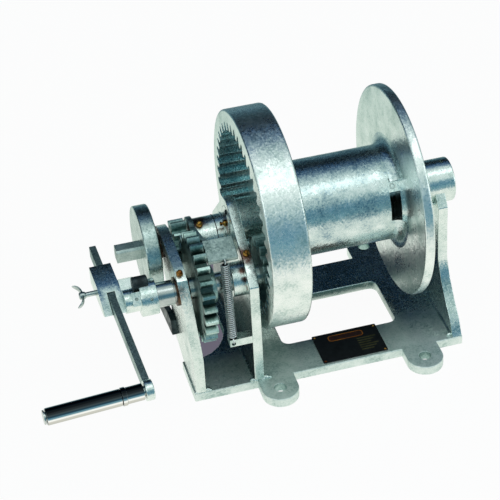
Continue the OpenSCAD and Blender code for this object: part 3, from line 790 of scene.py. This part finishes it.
def lump(bm, at_mm, radius_mm):
    """A blob where a bead was started or stopped."""
    verts = bmesh.ops.create_icosphere(bm, subdivisions=2, radius=radius_mm * MM)["verts"]
    bmesh.ops.scale(bm, vec=(1.15, 0.9, 0.7), verts=verts)
    bmesh.ops.translate(bm, vec=Vector(at_mm) * MM, verts=verts)


def round_bead(bm, x_mm, y_mm, z_mm, radius_mm, size_mm):
    """A bead round an axis along X."""
    ring = bmesh.ops.create_circle(bm, cap_ends=False, segments=10, radius=size_mm * MM)["verts"]
    bmesh.ops.translate(bm, vec=Vector((x_mm, y_mm + radius_mm, z_mm)) * MM, verts=ring)
    spin_full(bm, ring + edges_of(ring), Vector((x_mm, y_mm, z_mm)) * MM, (1, 0, 0), 72)


bm = bmesh.new()
for x, y, length in ((-115.5, -91, 182), (-103.5, -91, 182), (-175.0, -91, 56), (133.0, -90, 180)):
    straight_bead(bm, (x, y, BASE_TOP_MM), (0, 1, 0), length, 2.0)
for x, y, z, radius in ((-117.5, -92.5, 13.2, 3.6), (-114.0, -94.0, 12.4, 2.8), (-101.6, -92.0, 13.0, 4.2),
                        (-97.5, -93.0, 12.2, 3.2), (-105.5, -94.2, 12.2, 2.4), (-173.0, -92.0, 13.2, 3.6),
                        (-170.0, -92.6, 12.2, 2.6), (-186.0, -93.4, 12.4, 2.6), (130.8, -88.0, 13.0, 3.2)):
    lump(bm, (x, y, z), radius)
round_bead(bm, -103.5, 0, AXIS_Z, 24.0, 1.8)
round_bead(bm, -115.5, UPPER[0], UPPER[1], 24.0, 1.6)
for x, y, z, radius in ((146.0, -21.0, 163.0, 2.6), (147.0, -17.0, 160.5, 2.2), (132.0, -22.0, 162.0, 2.4)):
    lump(bm, (x, y, z), radius)
piece("frame_welds", bm, zinc_bath, "frame")

# %% [markdown]
# ## Dark joints
# The joint round the bearing housing shows as a thin dark line, and a keyway
# over the drum's nipple as a dark slot. Cutting them would hardly show at this
# size, so a thin dark ring and a small dark bar are laid on.

# %% Dark joints
KEYWAY_SIZE = (1.2, 2.0, 8.0)
KEYWAY_AT = (-116.2, -0.6, 193.0)

bm = bmesh.new()
round_bead(bm, -126.0, UPPER[0], UPPER[1], 24.0, 0.55)
keyway = bmesh.ops.create_cube(bm, size=1.0)["verts"]
bmesh.ops.scale(bm, vec=Vector(KEYWAY_SIZE) * MM, verts=keyway)
bmesh.ops.translate(bm, vec=Vector(KEYWAY_AT) * MM, verts=keyway)
piece("dark_joints", bm, black_cap, "frame")

# %% [markdown]
# ## Welds on the drum
# The barrel is welded to the web of the ring gear, and the flange to its shaft.
# Both seams run round the drum's axis, so both are round beads.

# %% Drum welds
bm = bmesh.new()
round_bead(bm, -50.0, 0, AXIS_Z, 57.0, 1.6)
round_bead(bm, 96.4, 0, AXIS_Z, 17.5, 2.0)
piece("drum_welds", bm, zinc_bath, "drum")

# %% [markdown]
# ## The hub of the spur gear
# Behind the return spring the spur gear carries a plain turned hub on its
# shaft. It is one outline, eased at its free corner and spun round the shaft's
# axis.

# %% Spur gear hub
HUB_R, HUB_BORE_R = 22.0, 12.6
HUB_FROM, HUB_TO = -160.0, -148.8
HUB_EASE = 1.2

bm = bmesh.new()
hub = outline(bm, [(x, COUNTER[0] + radius, COUNTER[1]) for x, radius in (
    (HUB_FROM, HUB_BORE_R), (HUB_FROM, HUB_R), (HUB_TO - HUB_EASE, HUB_R),
    (HUB_TO - 0.3 * HUB_EASE, HUB_R - 0.3 * HUB_EASE), (HUB_TO, HUB_R - HUB_EASE), (HUB_TO, HUB_BORE_R))],
    closed=True)
spin_full(bm, hub, Vector((0, *COUNTER)) * MM, (1, 0, 0), 64)
piece("spur_gear_hub", bm, zinc_dull, "counter")

# %% [markdown]
# ## Where the barrel meets the flange
# The rope barrel swells into the flange in a hollow weld that was dressed round
# and then filled by the zinc. Its outline is a quarter circle that curves the
# other way, closed behind, and spun round the drum's axis. It stops short of
# the rope hole on both sides, where the welder could not pass.

# %% Drum fillet
BARREL_R = 57.15
FLANGE_X = 84.6
SUNK_MM = 1.0
HOLLOW_MM = 13.0
HOLE_FROM, HOLE_TO = -2.0, 46.0
DRUM_MIDDLE = Vector((0, 0, AXIS_Z)) * MM

section = [(FLANGE_X + SUNK_MM / 2, BARREL_R - SUNK_MM), (FLANGE_X - HOLLOW_MM, BARREL_R - SUNK_MM)]
for i in range(9):
    turn = math.radians(90 * i / 8)
    section.append((FLANGE_X - HOLLOW_MM * (1 - math.sin(turn)), BARREL_R + HOLLOW_MM * (1 - math.cos(turn))))
section.append((FLANGE_X + SUNK_MM / 2, BARREL_R + HOLLOW_MM))

bm = bmesh.new()
hollow = outline(bm, [(x, -radius, AXIS_Z) for x, radius in section], closed=True)
bmesh.ops.rotate(bm, cent=DRUM_MIDDLE, matrix=Matrix.Rotation(math.radians(-HOLE_TO), 3, "X"), verts=bm.verts)
bmesh.ops.contextual_create(bm, geom=[g for g in hollow if isinstance(g, bmesh.types.BMEdge)])
round_deg = 360 - (HOLE_TO - HOLE_FROM)
last = bmesh.ops.spin(bm, geom=hollow, cent=DRUM_MIDDLE, axis=(-1, 0, 0), angle=math.radians(round_deg),
                      steps=int(round_deg / 4), use_merge=False, use_duplicate=False)["geom_last"]
bmesh.ops.contextual_create(bm, geom=[g for g in last if isinstance(g, bmesh.types.BMEdge)])
piece("drum_fillet", bm, zinc_barrel, "drum")

# %% [markdown]
# Next to the hole sits the rope clamp, a socket screw in its flat. Its head is
# a short cone of equal radii, and the socket is its top face inset and pushed
# in.

# %% Rope clamp screw
CLAMP_R_MM, CLAMP_MM = 3.6, 2.4
SOCKET_WALL_MM, SOCKET_DEPTH_MM = 1.5, 1.6
CLAMP_AT = Vector((74.2, -40.9, 213.8)) * MM
CLAMP_LEAN = math.radians(49)

bm = bmesh.new()
bmesh.ops.create_cone(bm, cap_ends=True, segments=24, radius1=CLAMP_R_MM * MM, radius2=CLAMP_R_MM * MM,
                      depth=CLAMP_MM * MM)
top = [f for f in bm.faces if f.normal.z > 0.9]
bmesh.ops.inset_region(bm, faces=top, thickness=SOCKET_WALL_MM * MM)
pushed = bmesh.ops.extrude_face_region(bm, geom=top)["geom"]
pushed = [g for g in pushed if isinstance(g, bmesh.types.BMVert)]
bmesh.ops.translate(bm, vec=(0, 0, -SOCKET_DEPTH_MM * MM), verts=pushed)
bmesh.ops.delete(bm, geom=top, context="FACES_ONLY")
bmesh.ops.rotate(bm, cent=(0, 0, 0), matrix=Matrix.Rotation(CLAMP_LEAN, 3, "X"), verts=bm.verts)
bmesh.ops.translate(bm, vec=CLAMP_AT, verts=bm.verts)
piece("rope_clamp_screw", bm, zinc_plate, "drum")

# %% [markdown]
# ## Wing screw
# It clamps the sliding crank arm. The wings are drop forged: flat in section,
# thick at the root, and they curl outwards so that a thumb can push them. Each
# one is a lens-shaped ring of points that is extruded in small turns about a
# centre beside it, and shrinks towards the tip.

# %% Wing screw
CRANK_AT = Vector((-266.1, *COUNTER)) * MM
CRANK_SKEW = math.radians(1.7)
SCREW_MM = 28.0
WING_ROOT_X, WING_ROOT_Y = -30.4, 2.6
CURL_X = -44.5
CURL_STEP_DEG = 6.2
WING_TWIST = math.radians(16)
WING_SHRINK = (1.0, 1.0, 1.0, 0.99, 0.98, 0.97, 0.95, 0.92, 0.85, 0.70, 0.45)
STEM = [(-34.4, 0.0), (-34.4, 3.2), (-33.4, 4.3), (-30.0, 4.6), (-27.6, 4.2), (-26.4, 3.0), (-14.0, 3.0)]

bm = bmesh.new()
spin_full(bm, outline(bm, [(x, 0, radius) for x, radius in STEM]), (0, 0, 0), (1, 0, 0), 24)
bmesh.ops.remove_doubles(bm, verts=bm.verts, dist=0.01 * MM)
for side in (-1, 1):
    ring = bmesh.ops.create_circle(bm, cap_ends=False, segments=12, radius=1.0 * MM)["verts"]
    bmesh.ops.scale(bm, vec=(1.5, 4.2, 1), verts=ring)
    bmesh.ops.rotate(bm, cent=(0, 0, 0), matrix=Matrix.Rotation(math.pi / 2, 3, "X"), verts=ring)
    bmesh.ops.translate(bm, vec=Vector((WING_ROOT_X, side * WING_ROOT_Y, 0)) * MM, verts=ring)
    centre = Vector((CURL_X, side * WING_ROOT_Y, 0)) * MM
    curl = Matrix.Rotation(math.radians(side * CURL_STEP_DEG), 3, "Z")
    edges = edges_of(ring)
    for shrink in WING_SHRINK:
        out = bmesh.ops.extrude_edge_only(bm, edges=edges)["geom"]
        ring = [g for g in out if isinstance(g, bmesh.types.BMVert)]
        edges = [g for g in out if isinstance(g, bmesh.types.BMEdge)]
        bmesh.ops.rotate(bm, cent=centre, matrix=curl, verts=ring)
        middle = sum((v.co for v in ring), Vector()) / len(ring)
        bmesh.ops.scale(bm, vec=(shrink, shrink, shrink), space=Matrix.Translation(-middle), verts=ring)
    bmesh.ops.contextual_create(bm, geom=edges)
bmesh.ops.rotate(bm, cent=(0, 0, 0), matrix=Matrix.Rotation(WING_TWIST, 3, "X"), verts=bm.verts)
bmesh.ops.translate(bm, vec=(0, SCREW_MM * MM, 0), verts=bm.verts)
bmesh.ops.rotate(bm, cent=(0, 0, 0), matrix=Matrix.Rotation(CRANK_SKEW, 3, "Z"), verts=bm.verts)
bmesh.ops.translate(bm, vec=CRANK_AT, verts=bm.verts)
piece("wing_screw_forged", bm, zinc_plate, "screw", ("wing_screw",))

# %% [markdown]
# ## Grease nipples
# Each bearing is fed through a nipple: a small hexagon that a spanner turns, a
# narrow neck and a ball that the grease gun grips. The hexagon is a six-sided
# cone of equal radii with its edges eased, and the neck and ball are one outline
# spun round.

# %% Grease nipples
HEXAGON_R_MM, HEXAGON_MM = 4.3, 2.8
NECK_AND_BALL = [(2.9, 2.6), (2.9, 3.4), (1.8, 3.9), (1.7, 4.6), (2.6, 5.4), (2.9, 6.1), (2.3, 7.0),
                 (1.1, 7.4), (0.0, 7.4)]


def nipple(name, at_mm, lean_deg, axis, solid):
    bm = bmesh.new()
    hexagon = bmesh.ops.create_cone(bm, cap_ends=True, segments=6, radius1=HEXAGON_R_MM * MM,
                                    radius2=HEXAGON_R_MM * MM, depth=HEXAGON_MM * MM)["verts"]
    bmesh.ops.translate(bm, vec=(0, 0, HEXAGON_MM / 2 * MM), verts=hexagon)
    ease(bm, list(bm.edges), 0.5, 2)
    profile = outline(bm, [(radius, 0, height) for radius, height in NECK_AND_BALL])
    spin_full(bm, profile, (0, 0, 0), (0, 0, 1), 20)
    bmesh.ops.remove_doubles(bm, verts=bm.verts, dist=0.01 * MM)
    lean = Matrix.Rotation(math.radians(lean_deg), 3, axis)
    bmesh.ops.rotate(bm, cent=(0, 0, 0), matrix=lean, verts=bm.verts)
    bmesh.ops.translate(bm, vec=Vector(at_mm) * MM, verts=bm.verts)
    piece(name, bm, nipple_brass, "frame", (solid,))


nipple("grease_nipple_middle", (-109.5, -63.0, AXIS_Z - 2.5), 24, "X", "nipple_middle")
nipple("grease_nipple_outer", (-189.4, COUNTER[0] - 9.5, COUNTER[1] + 31.5), 34.5, "X", "nipple_outer")
nipple("grease_nipple_drum", (-116.5, 0, AXIS_Z), -90, "Y", "nipple_drum")
nipple("grease_nipple_upper", (-145.0, UPPER[0] - 7.4, UPPER[1] + 22.9), 18, "X", "nipple_upper")

# %% [markdown]
# ## The plate on the front rail
# A thin dark plate is riveted to the front rail. It is plain: a rounded bar
# outlined in amber and a few lighter bands. The plate and its bands are flat
# boxes with eased corners, and the outline is a bar with a darker, smaller one
# on it.

# %% Name plate
PLATE_BOTTOM = BASE_TOP_MM + 0.02
PLATE_TOP = 12.9
BAND_RIGHT, BAND_LEFT, BAND_STEP = 22, 46, 4.2
RIVETS_X = (-26, 49)
RIVETS_Y = (-88.5, -43)
RIVET_R_MM = 1.6

# Anodised sheet: nearly black, satin.
plate_enamel = cloudy("dark_anodised_plate", "#23262A", "#14161A", 0.6, 0.38, 0.9, 0.01)
# Printed olive, rubbed thin: hardly lighter than the plate.
plate_band = cloudy("worn_olive_print", "#4C4A2B", "#333418", 0.3, 0.5, 0.8, 0.01)
# Printed amber: the one warm line on the base.
plate_amber = cloudy("amber_print", "#B4701C", "#7E430F", 0.2, 0.45, 0.8, 0.01)
# Printed dark red inside the outline: only just tells from black.
plate_red = cloudy("dark_red_print", "#3A1712", "#1F0C0A", 0.2, 0.45, 0.8, 0.01)


def flat_bar(bm, x0, x1, y0, y1, z0, z1, corner_mm):
    """A flat box with rounded corners seen from above."""
    made = bmesh.ops.create_cube(bm, size=1.0)["verts"]
    bmesh.ops.scale(bm, vec=Vector((x1 - x0, y1 - y0, z1 - z0)) * MM, verts=made)
    bmesh.ops.translate(bm, vec=Vector((x0 + x1, y0 + y1, z0 + z1)) * (MM / 2), verts=made)
    upright = [e for e in edges_of(made) if abs(e.verts[0].co.z - e.verts[1].co.z) > 1e-6]
    ease(bm, upright, corner_mm, 5)


bm = bmesh.new()
flat_bar(bm, -29, 52, -91.5, -40, PLATE_BOTTOM, PLATE_TOP, 1.5)
piece("name_plate", bm, plate_enamel, "frame")
bm = bmesh.new()
for i in range(6):
    y = -61.5 - BAND_STEP * i
    flat_bar(bm, BAND_RIGHT, BAND_LEFT - 4 * (i % 3), y, y + 1.9, PLATE_TOP, PLATE_TOP + 0.06, 0.3)
piece("plate_bands", bm, plate_band, "frame")
bm = bmesh.new()
flat_bar(bm, -11, 33, -56, -45.5, PLATE_TOP, PLATE_TOP + 0.08, 4.0)
piece("plate_outline", bm, plate_amber, "frame")
bm = bmesh.new()
flat_bar(bm, -10, 32, -55, -46.5, PLATE_TOP, PLATE_TOP + 0.12, 3.2)
piece("plate_field", bm, plate_red, "frame")
bm = bmesh.new()
for x in RIVETS_X:
    for y in RIVETS_Y:
        dome = bmesh.ops.create_uvsphere(bm, u_segments=12, v_segments=6, radius=RIVET_R_MM * MM)["verts"]
        bmesh.ops.scale(bm, vec=(1, 1, 0.5), verts=dome)
        bmesh.ops.translate(bm, vec=Vector((x, y, PLATE_TOP)) * MM, verts=dome)
piece("plate_rivets", bm, nipple_brass, "frame")
